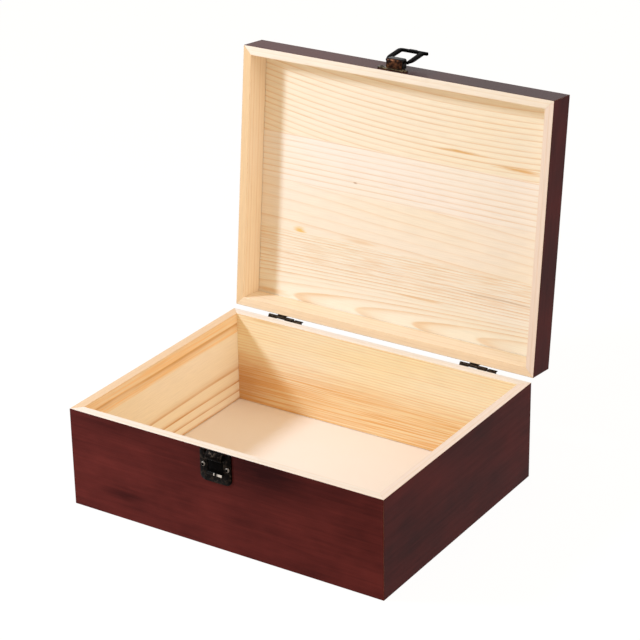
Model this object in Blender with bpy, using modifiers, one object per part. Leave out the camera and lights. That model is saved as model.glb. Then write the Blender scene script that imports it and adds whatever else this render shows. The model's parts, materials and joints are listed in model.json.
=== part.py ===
"""Wooden keepsake box with its lid open: a mitred base and lid, two stop hinges and a front loop clasp.

The origin is the middle of the underside, +Z is up, the clasp faces -Y and the hinges are at +Y.
Lid pieces are drawn where they are when the lid is shut, then an empty on the hinge axis opens them.
"""

import math

import bmesh
import bpy
from mathutils import Matrix, Vector

# Base and lid, in metres
WIDTH = 0.290
DEPTH = 0.2284
BASE_HEIGHT = 0.085
LID_HEIGHT = 0.027
WALL = 0.0085
RAIL = 0.0076
FLOOR = 0.0032
LID_PANEL = 0.0035
RABBET = 0.0042
EDGE_ROUND = 0.0008

# Fits
SEAT_GAP = 0.0003
SEAM = 0.00124
OVERRUN = 0.002
WELD = 0.00001

# How far each moving piece stands from shut
LID_OPENING = math.radians(95.8)
CLASP_LEAN = math.radians(8.0)
CLASP_FOLD = math.radians(11.0)

# Stop hinges on the back
LEFT_HINGE_INSET = 0.0351
RIGHT_HINGE_INSET = 0.0327
LEAF_WIDTH = 0.034
LEAF_HEIGHT = 0.0145
LEAF_THICKNESS = 0.001
LEAF_CORNER = 0.002
BARREL = 0.025
KNUCKLES = 3
KNUCKLE_RADIUS = 0.0014
LEAF_STEP = 0.0004
KNUCKLE_INSET = 0.0001
KNUCKLE_GAP = 0.0003
HINGE_PIN_RADIUS = 0.0006
HINGE_PIN_PROUD = 0.0003
PIN_CLEARANCE = 0.00025
SHELF_REACH = 0.0024
SHELF_INDENT = 0.0009
LEAF_SCREW_SPACING = 0.021
LEAF_SCREW_DROP = 0.0092

# Catch on the front of the base
CLASP_OFFSET = -0.0038
SHEET = 0.0009
CATCH_WIDTH = 0.0288
CATCH_HEIGHT = 0.0262
CATCH_BELOW_RIM = 0.0005
CATCH_TOP_CORNER = 0.0012
CATCH_FOOT_CORNER = 0.0078
CATCH_SCREW_SPACING = 0.0222
CATCH_SCREW_DROP = 0.0128
NOTCH_WIDTH = 0.0013
NOTCH_DEPTH = 0.0022
NOSE_WIDTH = 0.0152
NOSE_REACH = 0.0046
NOSE_DROP = 0.0064
NOSE_SLOPE = 0.0026
WINDOW_WIDTH = 0.0146
WINDOW_HEIGHT = 0.011
WINDOW_BELOW_NOSE = 0.001
LIP_WIDTH = 0.0124
LIP_REACH = 0.0026
LIP_HEIGHT = 0.0022
TONGUE = 0.0007

# Clasp on the front of the lid
EAR_SPREAD = 0.027
EAR_HEIGHT = 0.006
EAR_ABOVE_RIM = 0.0032
MOUNT_SCREW_SPACING = 0.0204
HOUSING_WIDTH = 0.0142
HOUSING_REACH = 0.008
HOUSING_SETBACK = 0.0034
CLASP_PIN_RADIUS = 0.0008
CLASP_PIN_RISE = 0.013
CLASP_PIN_OUT = 0.0058
CHEEK_MARGIN = 0.002
LOOP_WIDTH = 0.0248
LOOP_ARM = 0.0036
LOOP_THICKNESS = 0.0024
LOOP_BAR = 0.0027
LOOP_BAR_OVERRUN = 0.003
EYE_RADIUS = 0.0017
TAB_WIDTH = 0.0075
TAB_LENGTH = 0.0024
TAB_CURL = 0.0007

# Wood screws
SCREW_LENGTH = 0.0062
SCREW_RADIUS = 0.001
SCREW_TIP = 0.002
HEAD_RADIUS = 0.0021
HEAD_HEIGHT = 0.0013
SLOT_TURN = math.radians(35)
SLOT_WIDTH = 0.0005
SLOT_DEPTH = 0.0006

# Faces used for round shapes
SCREW_SIDES = 12
DOME_STEPS = 3
ROUND_SIDES = 20
EDGE_STEPS = 2
CORNER_STEPS = 4

# Places worked out from the sizes above
HALF_WIDTH = WIDTH / 2
HALF_DEPTH = DEPTH / 2
LID_RIM = BASE_HEIGHT + SEAM
LEAF_SETBACK = KNUCKLE_RADIUS + LEAF_STEP
HINGE_AXIS = Vector((0, HALF_DEPTH + SEAT_GAP + LEAF_SETBACK, BASE_HEIGHT + SEAM / 2))
CLASP_AXIS = Vector((CLASP_OFFSET, -HALF_DEPTH - CLASP_PIN_OUT, LID_RIM + CLASP_PIN_RISE))
NOSE_UNDERSIDE = BASE_HEIGHT - NOSE_DROP
LOOP_LEAN_RISE = LOOP_THICKNESS / 2 * math.sin(CLASP_LEAN)
LOOP_REACH = (CLASP_AXIS.z - NOSE_UNDERSIDE + SEAT_GAP + LOOP_LEAN_RISE) / math.cos(CLASP_LEAN)
ACROSS = Matrix(((0, 0, 1, 0), (1, 0, 0, 0), (0, 1, 0, 0), (0, 0, 0, 1)))
UPRIGHT = Matrix.Rotation(math.pi / 2, 4, "X")


def clear_scene():
    for item in list(bpy.data.objects):
        bpy.data.objects.remove(item)


def new_collection(name):
    group = bpy.data.collections.new(name)
    bpy.context.scene.collection.children.link(group)
    return group


def new_finish(name, colour, roughness, metallic):
    finish = bpy.data.materials.new(name)
    finish.use_nodes = True
    shader = finish.node_tree.nodes["Principled BSDF"]
    shader.inputs["Base Color"].default_value = colour
    shader.inputs["Roughness"].default_value = roughness
    shader.inputs["Metallic"].default_value = metallic
    finish.diffuse_color = colour
    return finish


clear_scene()
parts = new_collection("keepsake_box")
cutters = new_collection("cutters")
stained_wood = new_finish("stained_wood", (0.10, 0.02, 0.018, 1), 0.42, 0)
pale_wood = new_finish("pale_wood", (0.80, 0.62, 0.40, 1), 0.55, 0)
plywood = new_finish("plywood", (0.82, 0.68, 0.50, 1), 0.60, 0)
bronze = new_finish("aged_bronze", (0.09, 0.065, 0.05, 1), 0.45, 1)
steel = new_finish("screw_steel", (0.42, 0.38, 0.34, 1), 0.35, 1)


# Pivots: an empty on the hinge axis, and one on the clasp's pin that rides on it
def new_pivot(name, axis, carrier=None):
    pivot = bpy.data.objects.new(name, None)
    parts.objects.link(pivot)
    pivot.location = axis
    if carrier:
        pivot.parent = carrier
        pivot.matrix_parent_inverse = Matrix.Translation(-carrier.location)
    return pivot


lid_pivot = new_pivot("lid_pivot", HINGE_AXIS)
clasp_pivot = new_pivot("clasp_pivot", CLASP_AXIS, lid_pivot)


def carry(item, pivot):
    """Hands an object that is drawn in its shut place to the pivot that moves it."""
    item.parent = pivot
    item.matrix_parent_inverse = Matrix.Translation(-pivot.location)


# Shapes
def arc(centre, radius, start, end, steps):
    """Points round part of a circle, from one angle to the other."""
    turns = [start + (end - start) * step / steps for step in range(steps + 1)]
    return [(centre[0] + radius * math.cos(turn), centre[1] + radius * math.sin(turn)) for turn in turns]


def quarter(centre, radius, side, steps=EDGE_STEPS):
    """A rounded corner, anticlockwise. Side 0 starts facing +X, 1 facing +Y, 2 facing -X, 3 facing -Y."""
    start = side * math.pi / 2
    return arc(centre, radius, start, start + math.pi / 2, steps)


def rounded_outline(left, right, low, high, low_corner, high_corner):
    """An anticlockwise rectangle whose lower and upper corners have their own radii."""
    outline = quarter((left + low_corner, low + low_corner), low_corner, 2, CORNER_STEPS)
    outline += quarter((right - low_corner, low + low_corner), low_corner, 3, CORNER_STEPS)
    outline += quarter((right - high_corner, high - high_corner), high_corner, 0, CORNER_STEPS)
    outline += quarter((left + high_corner, high - high_corner), high_corner, 1, CORNER_STEPS)
    return outline


def weld(mesh):
    """Joins an extruded outline's caps to its sides, and makes each cap one face."""
    work = bmesh.new()
    work.from_mesh(mesh)
    bmesh.ops.remove_doubles(work, verts=work.verts, dist=WELD)
    caps = [face for face in work.faces if max(abs(corner.vert.co.z - face.verts[0].co.z)
                                               for corner in face.loops) < WELD]
    bmesh.ops.dissolve_faces(work, faces=caps)
    bmesh.ops.recalc_face_normals(work, faces=work.faces)
    work.to_mesh(mesh)
    work.free()


def prism(outline, start, end, turn):
    """Extrudes a flat outline from start to end along its normal, then turns it into the model's axes."""
    curve = bpy.data.curves.new("outline", "CURVE")
    curve.dimensions = "2D"
    curve.fill_mode = "BOTH"
    curve.extrude = (end - start) / 2
    spline = curve.splines.new("POLY")
    spline.points.add(len(outline) - 1)
    for point, place in zip(spline.points, outline):
        point.co = (place[0], place[1], 0, 1)
    spline.use_cyclic_u = True
    guide = bpy.data.objects.new("outline", curve)
    cutters.objects.link(guide)
    evaluated = guide.evaluated_get(bpy.context.evaluated_depsgraph_get())
    mesh = bpy.data.meshes.new_from_object(evaluated)
    bpy.data.objects.remove(guide)
    weld(mesh)
    mesh.transform(turn @ Matrix.Translation((0, 0, (start + end) / 2)))
    return mesh


def facing_front(outline, out_low, out_high):
    """A sheet on the front of the box: outline in X and Z, thickness between two distances out from it."""
    return prism(outline, HALF_DEPTH + out_low, HALF_DEPTH + out_high, UPRIGHT)


def block(low, high):
    """A box between two corners."""
    work = bmesh.new()
    bmesh.ops.create_cube(work, size=1)
    size = Vector(high) - Vector(low)
    bmesh.ops.scale(work, vec=size, verts=work.verts)
    bmesh.ops.translate(work, vec=Vector(low) + size / 2, verts=work.verts)
    mesh = bpy.data.meshes.new("block")
    work.to_mesh(mesh)
    work.free()
    return mesh


def rod(centre, radius, length, along="X", sides=ROUND_SIDES):
    """A round bar about its centre."""
    turns = {"X": Matrix.Rotation(math.pi / 2, 4, "Y"), "Y": UPRIGHT}
    work = bmesh.new()
    place = Matrix.Translation(centre) @ turns[along]
    bmesh.ops.create_cone(work, cap_ends=True, segments=sides, radius1=radius, radius2=radius,
                          depth=length, matrix=place)
    mesh = bpy.data.meshes.new("rod")
    work.to_mesh(mesh)
    work.free()
    return mesh


def slice_off(work, point, normal):
    """Cuts away what lies beyond a plane and closes the cut."""
    everything = work.verts[:] + work.edges[:] + work.faces[:]
    cut = bmesh.ops.bisect_plane(work, geom=everything, dist=WELD, plane_co=point, plane_no=normal,
                                 clear_outer=True)
    edges = [item for item in cut["geom_cut"] if isinstance(item, bmesh.types.BMEdge)]
    bmesh.ops.edgeloop_fill(work, edges=edges)


# Objects
def add_part(name, mesh, finish, pivot=None):
    mesh.name = name
    if not mesh.materials:
        mesh.materials.append(finish)
    part = bpy.data.objects.new(name, mesh)
    parts.objects.link(part)
    if pivot:
        carry(part, pivot)
    return part


def apply_tool(part, mesh, operation):
    """Joins a mesh to a part or cuts it away. The tool moves with the part's own pivot."""
    tool = bpy.data.objects.new(part.name + "_" + operation.lower(), mesh)
    cutters.objects.link(tool)
    tool.hide_render = True
    tool.display_type = "WIRE"
    if part.parent:
        carry(tool, part.parent)
    step = part.modifiers.new(operation.title(), "BOOLEAN")
    step.operation = operation
    step.object = tool


def join(part, mesh):
    apply_tool(part, mesh, "UNION")


def cut(part, mesh):
    apply_tool(part, mesh, "DIFFERENCE")


# Wooden frames
def board_section(thickness, low, high, rabbet_height, rabbet_on_top):
    """A board's end: distance in from the outer face against height, with a rabbet on the inner edge."""
    step_in = thickness - RABBET
    outline = quarter((EDGE_ROUND, low + EDGE_ROUND), EDGE_ROUND, 2)
    if rabbet_on_top:
        ledge = high - rabbet_height
        outline += [(thickness, low), (thickness, ledge), (step_in, ledge), (step_in, high)]
    else:
        ledge = low + rabbet_height
        outline += [(step_in, low), (step_in, ledge), (thickness, ledge), (thickness, high)]
    return outline + quarter((EDGE_ROUND, high - EDGE_ROUND), EDGE_ROUND, 1)


def mitred_board(name, section, span, setback, turn, pivot):
    """One side of a frame. It is drawn as the front board, then turned to its own side."""
    outline = [(inward - setback, height) for inward, height in section]
    mesh = prism(outline, -span / 2, span / 2, ACROSS)
    work = bmesh.new()
    work.from_mesh(mesh)
    for side in (-1, 1):
        mitre = Vector((side, 1, 0)).normalized()
        corner = Vector((side * span / 2, -setback, 0))
        slice_off(work, corner - mitre * SEAT_GAP / 2, mitre)
        chord = Vector((side * math.sin(math.pi / 8), -math.cos(math.pi / 8), 0))
        slice_off(work, corner - Vector((side * EDGE_ROUND, 0, 0)), chord)
    bmesh.ops.recalc_face_normals(work, faces=work.faces)
    bmesh.ops.rotate(work, cent=(0, 0, 0), matrix=Matrix.Rotation(turn, 3, "Z"), verts=work.verts)
    work.to_mesh(mesh)
    work.free()
    return add_part(name, mesh, stained_wood, pivot)


def frame(section, names, pivot=None):
    """The four mitred boards of the base or the lid, by the side that each is on."""
    sides = {"front": (WIDTH, HALF_DEPTH, 0), "right": (DEPTH, HALF_WIDTH, 1),
             "back": (WIDTH, HALF_DEPTH, 2), "left": (DEPTH, HALF_WIDTH, 3)}
    boards = {}
    for side, (span, setback, quarters) in sides.items():
        turn = quarters * math.pi / 2
        boards[side] = mitred_board(names.format(side), section, span, setback, turn, pivot)
    return boards


def panel(name, thickness, low, high, finish, pivot=None):
    """The sheet that fills a frame's rabbet, a seat gap clear all round."""
    step_in = thickness - RABBET + SEAT_GAP
    corner = Vector((HALF_WIDTH - step_in, HALF_DEPTH - step_in, 0))
    mesh = block((-corner.x, -corner.y, low), (corner.x, corner.y, high))
    return add_part(name, mesh, finish, pivot)


# Screws: every one shares one mesh, drawn standing on its tip with the head's seat at zero
def turned(name, profile, sides):
    """Spins a profile, given from the top down, about Z. Returns the object, which isn't a part."""
    mesh = bpy.data.meshes.new(name)
    work = bmesh.new()
    points = [work.verts.new((radius, 0, height)) for radius, height in profile]
    for upper, lower in zip(points, points[1:]):
        work.edges.new((upper, lower))
    work.to_mesh(mesh)
    work.free()
    blank = bpy.data.objects.new(name, mesh)
    cutters.objects.link(blank)
    blank.hide_render = True
    blank.display_type = "WIRE"
    spin = blank.modifiers.new("Turn", "SCREW")
    spin.steps = sides
    spin.render_steps = sides
    spin.use_merge_vertices = True
    spin.merge_threshold = WELD
    return blank


def screw_mesh():
    turns = [step / DOME_STEPS * math.pi / 2 for step in range(DOME_STEPS + 1)]
    dome = [(HEAD_RADIUS * math.sin(turn), HEAD_HEIGHT * math.cos(turn)) for turn in turns]
    shank = [(SCREW_RADIUS, 0), (SCREW_RADIUS, SCREW_TIP - SCREW_LENGTH), (0, -SCREW_LENGTH)]
    blank = turned("screw_blank", dome + shank, SCREW_SIDES)
    slot = block((-HEAD_RADIUS - OVERRUN, -SLOT_WIDTH / 2, HEAD_HEIGHT - SLOT_DEPTH),
                 (HEAD_RADIUS + OVERRUN, SLOT_WIDTH / 2, HEAD_HEIGHT + OVERRUN))
    cut(blank, slot)
    evaluated = blank.evaluated_get(bpy.context.evaluated_depsgraph_get())
    mesh = bpy.data.meshes.new_from_object(evaluated)
    mesh.materials.append(steel)
    return mesh


screw = screw_mesh()


def drive_screw(name, holder, plate, face, thickness, across, height, way, pivot=None):
    """A screw through a plate into the wood. Face is +1 on the back and -1 on the front."""
    wood = face * HALF_DEPTH
    seat = wood + face * (SEAT_GAP + thickness + SEAT_GAP)
    part = add_part(name, screw, steel)
    part.location = (across, seat, height)
    part.rotation_mode = "ZYX"
    part.rotation_euler = (-face * math.pi / 2, 0, way * SLOT_TURN)
    if pivot:
        carry(part, pivot)
    hole = SCREW_RADIUS + SEAT_GAP
    depth = SCREW_LENGTH + SEAT_GAP
    middle = seat - face * depth / 2 + face * OVERRUN / 2
    for piece in (holder, plate):
        cut(piece, rod((across, middle, height), hole, depth + OVERRUN, "Y", SCREW_SIDES))
    return part


# Base and lid
base_section = board_section(WALL, 0, BASE_HEIGHT, FLOOR + SEAT_GAP, False)
base = frame(base_section, "{}_wall")
panel("bottom_panel", WALL, 0, FLOOR, plywood)

lid_section = board_section(RAIL, LID_RIM, LID_RIM + LID_HEIGHT, LID_PANEL + SEAT_GAP, True)
lid = frame(lid_section, "lid_{}_rail", lid_pivot)
lid_top = LID_RIM + LID_HEIGHT
panel("lid_panel", RAIL, lid_top - LID_PANEL, lid_top, pale_wood, lid_pivot)


# Hinges
def knuckle_span(index):
    """Where one knuckle starts and ends, from the barrel's left end."""
    pitch = BARREL / KNUCKLES
    start = index * pitch + (KNUCKLE_GAP / 2 if index else 0)
    last = index == KNUCKLES - 1
    end = (index + 1) * pitch - (0 if last else KNUCKLE_GAP / 2)
    return start, end


def leaf_outline(own, way):
    """A leaf with a tab up to each knuckle it owns. Way is -1 on the base and +1 on the lid."""
    tip = way * LEAF_HEIGHT
    relief = way * (KNUCKLE_RADIUS + SEAT_GAP)
    level = way * KNUCKLE_GAP
    tabs = [knuckle_span(index) for index in own]
    if way < 0:
        tabs.append((BARREL + SHELF_INDENT - KNUCKLE_INSET, LEAF_WIDTH + KNUCKLE_INSET))
    outline = [(LEAF_CORNER, tip), (0, tip - way * LEAF_CORNER), (0, relief)]
    for start, end in tabs:
        sides = (start + KNUCKLE_INSET, end - KNUCKLE_INSET)
        outline += [(sides[0], relief), (sides[0], level), (sides[1], level), (sides[1], relief)]
    if way > 0:
        outline.append((LEAF_WIDTH, relief))
    return outline + [(LEAF_WIDTH, tip - way * LEAF_CORNER), (LEAF_WIDTH - LEAF_CORNER, tip)]


def hinge_leaf(name, left, own, way, pivot=None):
    outline = [(left + x, HINGE_AXIS.z + z) for x, z in leaf_outline(own, way)]
    back = -HALF_DEPTH - SEAT_GAP
    leaf = add_part(name, prism(outline, back - LEAF_THICKNESS, back, UPRIGHT), bronze, pivot)
    for index in own:
        start, end = knuckle_span(index)
        centre = HINGE_AXIS + Vector((left + (start + end) / 2, 0, 0))
        join(leaf, rod(centre, KNUCKLE_RADIUS, end - start))
    if way < 0:
        join(leaf, stop_shelf(left))
    centre = HINGE_AXIS + Vector((left + BARREL / 2, 0, 0))
    cut(leaf, rod(centre, HINGE_PIN_RADIUS + PIN_CLEARANCE, BARREL + SHELF_INDENT))
    return leaf


def stop_shelf(left):
    """The bent tab that the lid's leaf comes down on when the lid is fully open."""
    leaf_face = LEAF_SETBACK - LEAF_THICKNESS
    run = (SHELF_REACH + leaf_face * math.cos(LID_OPENING)) / math.sin(LID_OPENING)
    rest = leaf_face * math.sin(LID_OPENING) + run * math.cos(LID_OPENING)
    top = HINGE_AXIS.z + rest - SEAT_GAP
    inner = HALF_DEPTH + SEAT_GAP + KNUCKLE_INSET
    return block((left + BARREL + SHELF_INDENT, inner, top - LEAF_THICKNESS),
                 (left + LEAF_WIDTH - KNUCKLE_INSET, HINGE_AXIS.y + SHELF_REACH, top))


def hinge(side, middle):
    left = middle - LEAF_WIDTH / 2
    outer = [index for index in range(KNUCKLES) if index % 2 == 0]
    inner = [index for index in range(KNUCKLES) if index % 2 == 1]
    base_leaf = hinge_leaf("hinge_base_leaf_" + side, left, outer, -1)
    lid_leaf = hinge_leaf("hinge_lid_leaf_" + side, left, inner, 1, lid_pivot)
    pin_length = BARREL + 2 * HINGE_PIN_PROUD
    pin = rod(HINGE_AXIS + Vector((left + BARREL / 2, 0, 0)), HINGE_PIN_RADIUS, pin_length)
    add_part("hinge_pin_" + side, pin, bronze)
    for end, way in (("outer", -1), ("inner", 1)):
        across = middle + way * LEAF_SCREW_SPACING / 2
        names = "{}_leaf_screw_{}_{}"
        drive_screw(names.format("base", side, end), base["back"], base_leaf, 1, LEAF_THICKNESS,
                    across, HINGE_AXIS.z - LEAF_SCREW_DROP, way)
        drive_screw(names.format("lid", side, end), lid["back"], lid_leaf, 1, LEAF_THICKNESS,
                    across, HINGE_AXIS.z + LEAF_SCREW_DROP, -way, lid_pivot)


hinge("left", LEFT_HINGE_INSET + LEAF_WIDTH / 2 - HALF_WIDTH)
hinge("right", HALF_WIDTH - RIGHT_HINGE_INSET - LEAF_WIDTH / 2)


# Catch
def catch():
    top = BASE_HEIGHT - CATCH_BELOW_RIM
    half_plate = CATCH_WIDTH / 2
    shield = rounded_outline(CLASP_OFFSET - half_plate, CLASP_OFFSET + half_plate, top - CATCH_HEIGHT, top,
                             CATCH_FOOT_CORNER, CATCH_TOP_CORNER)
    bed = -HALF_DEPTH - SEAT_GAP
    front = bed - SHEET
    plate = add_part("catch_plate", facing_front(shield, SEAT_GAP, SEAT_GAP + SHEET), bronze)

    half_nose = NOSE_WIDTH / 2
    root = front + SHEET / 2
    brow = top - SHEET / 2
    tip = -HALF_DEPTH - NOSE_REACH
    nose = [(root, brow), (root, NOSE_UNDERSIDE), (tip, NOSE_UNDERSIDE),
            (tip, NOSE_UNDERSIDE + NOSE_SLOPE), (tip + NOSE_SLOPE, brow)]
    join(plate, prism(nose, CLASP_OFFSET - half_nose, CLASP_OFFSET + half_nose, ACROSS))
    for way in (-1, 1):
        middle = CLASP_OFFSET + way * (half_nose + NOTCH_WIDTH / 2 + SHEET / 2)
        cut(plate, block((middle - NOTCH_WIDTH / 2, front - OVERRUN, top - NOTCH_DEPTH),
                         (middle + NOTCH_WIDTH / 2, bed + OVERRUN, top + OVERRUN)))

    half_window = WINDOW_WIDTH / 2
    window_top = NOSE_UNDERSIDE - WINDOW_BELOW_NOSE
    window_foot = window_top - WINDOW_HEIGHT
    cut(plate, block((CLASP_OFFSET - half_window, front - OVERRUN, window_foot),
                     (CLASP_OFFSET + half_window, bed + OVERRUN, window_top)))
    half_tongue = half_window - SEAT_GAP
    strip = block((CLASP_OFFSET - half_tongue, bed - TONGUE, window_foot + SEAT_GAP),
                  (CLASP_OFFSET + half_tongue, bed, window_top - SEAT_GAP))
    tongue = add_part("catch_tongue", strip, steel)
    join(tongue, lip_mesh(window_foot))
    for side, way in (("left", -1), ("right", 1)):
        across = CLASP_OFFSET + way * CATCH_SCREW_SPACING / 2
        drive_screw("catch_screw_" + side, base["front"], plate, -1, SHEET, across,
                    BASE_HEIGHT - CATCH_SCREW_DROP, way)


def lip_mesh(window_foot):
    """The tongue's lower end: it bends out of the window, then down over the plate below it."""
    root = -HALF_DEPTH - SEAT_GAP - TONGUE / 2
    crest = -HALF_DEPTH - LIP_REACH
    start = window_foot + LIP_HEIGHT - TONGUE
    bend = start - TONGUE
    foot = bend - LIP_HEIGHT
    outline = [(root, start), (crest, bend), (crest, foot), (crest + TONGUE, foot),
               (crest + TONGUE, bend - TONGUE), (root, bend)]
    half = LIP_WIDTH / 2
    return prism(outline, CLASP_OFFSET - half, CLASP_OFFSET + half, ACROSS)


catch()


# Clasp
def clasp_mount():
    foot = LID_RIM + EAR_ABOVE_RIM
    half_ears = EAR_SPREAD / 2
    bed = -HALF_DEPTH - SEAT_GAP
    ear_corner = EAR_HEIGHT / 2 - SHEET
    ears = rounded_outline(CLASP_OFFSET - half_ears, CLASP_OFFSET + half_ears, foot, foot + EAR_HEIGHT,
                           ear_corner, ear_corner)
    mount = add_part("clasp_mount", facing_front(ears, SEAT_GAP, SEAT_GAP + SHEET), bronze, lid_pivot)

    half_housing = HOUSING_WIDTH / 2
    housing_front = -HALF_DEPTH - HOUSING_REACH
    start = foot + HOUSING_SETBACK
    end = CLASP_AXIS.z + CHEEK_MARGIN
    housing = rounded_outline(CLASP_OFFSET - half_housing, CLASP_OFFSET + half_housing, housing_front,
                              bed - SHEET / 2, SHEET, SHEET / 2)
    join(mount, prism(housing, start, end, Matrix.Identity(4)))
    half_hollow = half_housing - SHEET
    cut(mount, block((CLASP_OFFSET - half_hollow, housing_front + SHEET, start + SHEET),
                     (CLASP_OFFSET + half_hollow, bed - SHEET, end + OVERRUN)))
    cut(mount, rod(CLASP_AXIS, CLASP_PIN_RADIUS + PIN_CLEARANCE, HOUSING_WIDTH + OVERRUN))
    for side, way in (("left", -1), ("right", 1)):
        across = CLASP_OFFSET + way * MOUNT_SCREW_SPACING / 2
        drive_screw("clasp_screw_" + side, lid["front"], mount, -1, SHEET, across, foot + EAR_HEIGHT / 2,
                    way, lid_pivot)


def clasp_loop():
    """The loop, drawn hanging straight down from its pin."""
    half = LOOP_WIDTH / 2
    near = CLASP_AXIS.y - LOOP_THICKNESS / 2
    far = CLASP_AXIS.y + LOOP_THICKNESS / 2
    foot = CLASP_AXIS.z - LOOP_REACH
    left = CLASP_AXIS.x - half
    right = CLASP_AXIS.x + half
    top = CLASP_AXIS.z + CLASP_PIN_RADIUS / 2
    outline = [(left, top), (left, foot - LOOP_BAR), (right + LOOP_BAR_OVERRUN, foot - LOOP_BAR),
               (right + LOOP_BAR_OVERRUN, foot), (right, foot), (right, top), (right - LOOP_ARM, top),
               (right - LOOP_ARM, foot), (left + LOOP_ARM, foot), (left + LOOP_ARM, top)]
    loop = add_part("clasp_loop", prism(outline, -far, -near, UPRIGHT), bronze, clasp_pivot)
    for way in (-1, 1):
        centre = CLASP_AXIS + Vector((way * (half - LOOP_ARM / 2), 0, 0))
        join(loop, rod(centre, EYE_RADIUS, LOOP_ARM - 2 * KNUCKLE_INSET))
    half_tab = LOOP_THICKNESS / 2 - KNUCKLE_INSET
    root = foot - LOOP_BAR / 2
    tip = foot - LOOP_BAR - TAB_LENGTH
    tab = [(CLASP_AXIS.y + half_tab, root), (CLASP_AXIS.y - half_tab, root),
           (CLASP_AXIS.y - half_tab - TAB_CURL, tip), (CLASP_AXIS.y + half_tab - TAB_CURL, tip)]
    join(loop, prism(tab, CLASP_AXIS.x - TAB_WIDTH / 2, CLASP_AXIS.x + TAB_WIDTH / 2, ACROSS))
    cut(loop, rod(CLASP_AXIS, CLASP_PIN_RADIUS + PIN_CLEARANCE, LOOP_WIDTH + OVERRUN))
    add_part("clasp_pin", rod(CLASP_AXIS, CLASP_PIN_RADIUS, LOOP_WIDTH), bronze, clasp_pivot)


clasp_mount()
clasp_loop()

lid_pivot.rotation_euler.x = -LID_OPENING
clasp_pivot.rotation_euler.x = CLASP_FOLD - math.pi
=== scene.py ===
import json
import math

import bmesh
import bpy
from mathutils import Matrix, Vector


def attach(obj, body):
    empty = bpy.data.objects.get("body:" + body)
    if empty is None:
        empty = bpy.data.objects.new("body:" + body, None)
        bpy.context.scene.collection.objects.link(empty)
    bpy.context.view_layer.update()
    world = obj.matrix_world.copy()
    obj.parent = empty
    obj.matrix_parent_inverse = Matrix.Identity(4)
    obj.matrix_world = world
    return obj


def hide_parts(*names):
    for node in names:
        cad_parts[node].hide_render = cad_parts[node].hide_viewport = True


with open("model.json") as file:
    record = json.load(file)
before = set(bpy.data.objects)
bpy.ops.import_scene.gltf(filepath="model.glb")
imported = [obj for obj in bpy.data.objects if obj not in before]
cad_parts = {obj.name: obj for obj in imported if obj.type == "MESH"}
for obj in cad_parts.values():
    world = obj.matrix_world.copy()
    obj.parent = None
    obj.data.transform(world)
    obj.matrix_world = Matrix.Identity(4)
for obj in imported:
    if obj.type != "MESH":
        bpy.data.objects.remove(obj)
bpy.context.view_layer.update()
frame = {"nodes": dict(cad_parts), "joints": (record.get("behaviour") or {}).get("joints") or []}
mm = 0.001

# Camera: a long lens at the front right, looking 24 degrees down
photoCamera = {
    "place": (0.8936, -1.3417, 0.8745),
    "turn": (65.811, 0.859, 32.744),
    "lens": 126.823,
    "sensor": 36.0,
    "near": 0.2,
    "far": 12.0,
}


def addObject(name, data):
    thing = bpy.data.objects.new(name, data)
    bpy.context.scene.collection.objects.link(thing)
    return thing


def addCamera(settings):
    lens = bpy.data.cameras.new("photoCamera")
    lens.lens = settings["lens"]
    lens.sensor_width = settings["sensor"]
    lens.clip_start = settings["near"]
    lens.clip_end = settings["far"]
    camera = addObject("photoCamera", lens)
    camera.location = settings["place"]
    camera.rotation_euler = [math.radians(turn) for turn in settings["turn"]]
    bpy.context.scene.camera = camera


addCamera(photoCamera)
print("camera is set")


# Nodes and colours
def linearColour(hexCode):
    channels = [int(hexCode[place:place + 2], 16) / 255 for place in (1, 3, 5)]
    return tuple(c / 12.92 if c <= 0.04045 else ((c + 0.055) / 1.055) ** 2.4 for c in channels) + (1.0,)


def feed(tree, node, links):
    # gives each input, in order or by name, a socket to read or a plain value
    for socket, source in links.items() if isinstance(links, dict) else enumerate(links):
        if isinstance(source, bpy.types.NodeSocket):
            tree.links.new(source, node.inputs[socket])
        else:
            node.inputs[socket].default_value = source


def addNode(tree, kind, links=(), out=0, **settings):
    # one node with its settings and links; hands back its output socket
    node = tree.nodes.new("ShaderNode" + kind)
    for name, value in settings.items():
        setattr(node, name, value)
    feed(tree, node, links)
    return node.outputs[out]


def newFinish(name):
    finish = bpy.data.materials.new(name)
    finish.use_nodes = True
    return finish, finish.node_tree, finish.node_tree.nodes["Principled BSDF"]


# Light: a soft lamp high at the viewer's left, a wide weaker one at the right, a white studio all round
studio = {
    "lamps": {
        "key": {"size": 0.21, "power": 10.3, "colour": "#dceeff", "way": (-0.80, -0.66, 0.72), "reach": 1.26},
        "side": {"size": 1.1, "power": 7.7, "colour": "#fff0e0", "way": (0.95, -0.12, 0.70), "reach": 1.9},
    },
    "aim": (0.0, 0.06, 0.13),
    "fill": "#ceb18d",
    "backdrop": "#ffffff",
    "floorColour": "#f0eeea",
    "floorRoughness": 0.9,
    "floorWhite": 1.06,
    "floorShadow": 0.10,
    "floorSize": 7.0,
}


def meshFrom(work, name):
    mesh = bpy.data.meshes.new(name)
    work.to_mesh(mesh)
    work.free()
    return mesh


def seenDirectly(tree):
    # 1 for rays from the camera, from gloss or through glass, else 0
    rays = addNode(tree, "LightPath").node.outputs
    straight = addNode(tree, "Math", (rays["Is Camera Ray"], rays["Is Glossy Ray"]), operation="MAXIMUM")
    return addNode(tree, "Math", (straight, rays["Is Transmission Ray"]), operation="MAXIMUM")


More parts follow.
